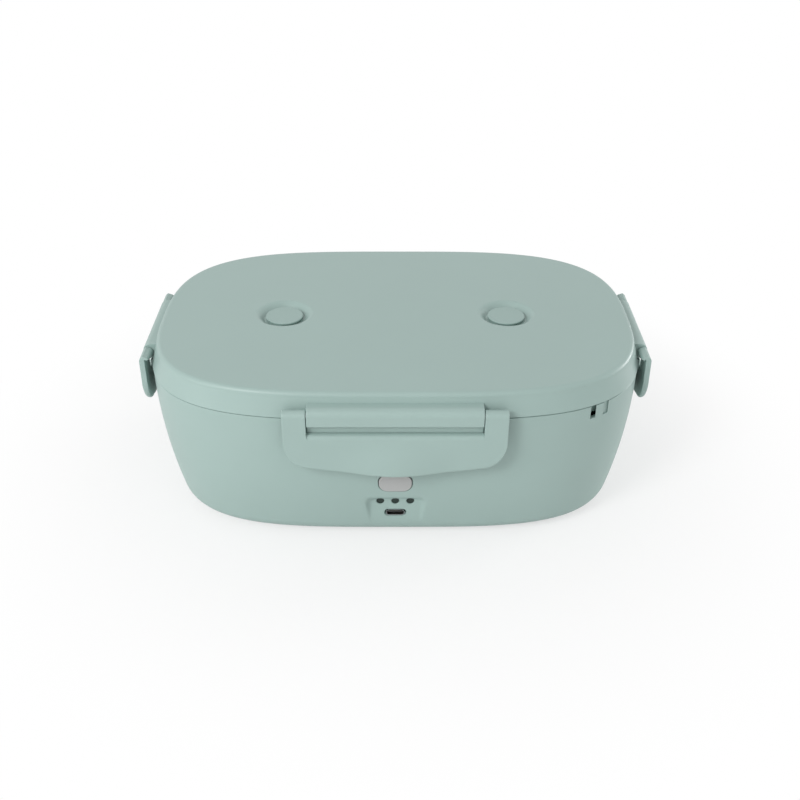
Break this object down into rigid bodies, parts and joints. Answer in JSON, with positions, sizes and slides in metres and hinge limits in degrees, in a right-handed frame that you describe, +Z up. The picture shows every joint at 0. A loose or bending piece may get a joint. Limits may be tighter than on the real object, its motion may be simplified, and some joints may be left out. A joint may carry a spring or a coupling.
{
  "type": "electric lunch box",
  "caption": "Cordless heated lunch box: oval housing with battery and heated well, lift-out steel dish, and lift-off lid with hinged clips and steam vent plugs.",
  "frame": {"origin": "on the table, under the middle of the box", "axes": "+X to the right along the long side, -Y to the front with the power button, +Z up"},
  "size_m": [0.2528, 0.1794, 0.0849],
  "materials": {
    "shell": "satin moulded plastic, pale grey green",
    "button": "satin light grey",
    "steel": "brushed stainless steel",
    "well_metal": "satin aluminium",
    "seal_rubber": "translucent white silicone",
    "seal_rubber_green": "matt silicone in the colour of the lid",
    "foot_rubber": "matt dark rubber",
    "dark_plastic": "black plastic",
    "white_plastic": "white plastic",
    "smoked_plastic": "smoked clear plastic",
    "cell_wrap": "blue shrink wrap",
    "can_metal": "satin aluminium can",
    "board": "green solder mask",
    "heater_film": "amber heater film",
    "insulation": "pale fibre felt",
    "wire_cover": "silicone wire covering"
  },
  "bodies": {
    "housing": {"housing_shell": "shell", "bottom_cover": "shell", "cover_screws": "steel", "rubber_feet": "foot_rubber", "heating_well": "well_metal", "heater_mat": "heater_film", "insulation_pad": "insulation", "temperature_sensor": "dark_plastic", "thermal_fuse": "steel", "battery_tray": "dark_plastic", "battery_cells": "cell_wrap", "cell_links": "steel", "control_board": "board", "control_chip": "dark_plastic", "power_inductor": "dark_plastic", "capacitors": "can_metal", "board_sockets": "white_plastic", "board_screws": "steel", "port_board": "board", "port_socket": "steel", "charge_leds": "white_plastic", "light_pipes": "smoked_plastic", "button_switch": "dark_plastic", "heater_leads": "wire_cover", "sensor_lead": "wire_cover", "battery_leads": "wire_cover", "port_lead": "wire_cover"},
    "button": {"power_button": "button", "switch_plunger": "white_plastic"},
    "dish": {"inner_dish": "steel"},
    "lid": {"lid_shell": "shell", "lid_liner": "shell", "lid_seal": "seal_rubber", "clip_pins": "steel"},
    "front_clip": {"clip_front": "shell"},
    "rear_clip": {"clip_rear": "shell"},
    "left_clip": {"clip_left": "shell"},
    "right_clip": {"clip_right": "shell"},
    "left_vent": {"vent_plug_left": "seal_rubber_green"},
    "right_vent": {"vent_plug_right": "seal_rubber_green"}
  },
  "joints": [
    {"name": "lid_lift", "type": "slide", "parent": "housing", "child": "lid", "axis": [0, 0, 1], "range_m": [0, 0.06]},
    {"name": "dish_lift", "type": "slide", "parent": "housing", "child": "dish", "axis": [0, 0, 1], "range_m": [0, 0.03]},
    {"name": "button_press", "type": "slide", "parent": "housing", "child": "button", "axis": [0, 1, 0], "range_m": [0, 0.0008], "stiffness_N_per_m": 1500, "springref_m": -0.0005},
    {"name": "front_clip_hinge", "type": "hinge", "parent": "lid", "child": "front_clip", "pos_m": [0, -0.0837, 0.0764], "axis": [-1, 0, 0], "range_deg": [0, 95]},
    {"name": "rear_clip_hinge", "type": "hinge", "parent": "lid", "child": "rear_clip", "pos_m": [0, 0.0837, 0.0764], "axis": [1, 0, 0], "range_deg": [0, 95]},
    {"name": "left_clip_hinge", "type": "hinge", "parent": "lid", "child": "left_clip", "pos_m": [-0.1204, 0, 0.0764], "axis": [0, 1, 0], "range_deg": [0, 85]},
    {"name": "right_clip_hinge", "type": "hinge", "parent": "lid", "child": "right_clip", "pos_m": [0.1204, 0, 0.0764], "axis": [0, -1, 0], "range_deg": [0, 85]},
    {"name": "left_vent_pull", "type": "slide", "parent": "lid", "child": "left_vent", "axis": [0, 0, 1], "range_m": [0, 0.003]},
    {"name": "right_vent_pull", "type": "slide", "parent": "lid", "child": "right_vent", "axis": [0, 0, 1], "range_m": [0, 0.003]}
  ],
  "couplings": [
    {"joint": "dish_lift", "follows": "lid_lift", "ratio": 0.5}
  ]
}
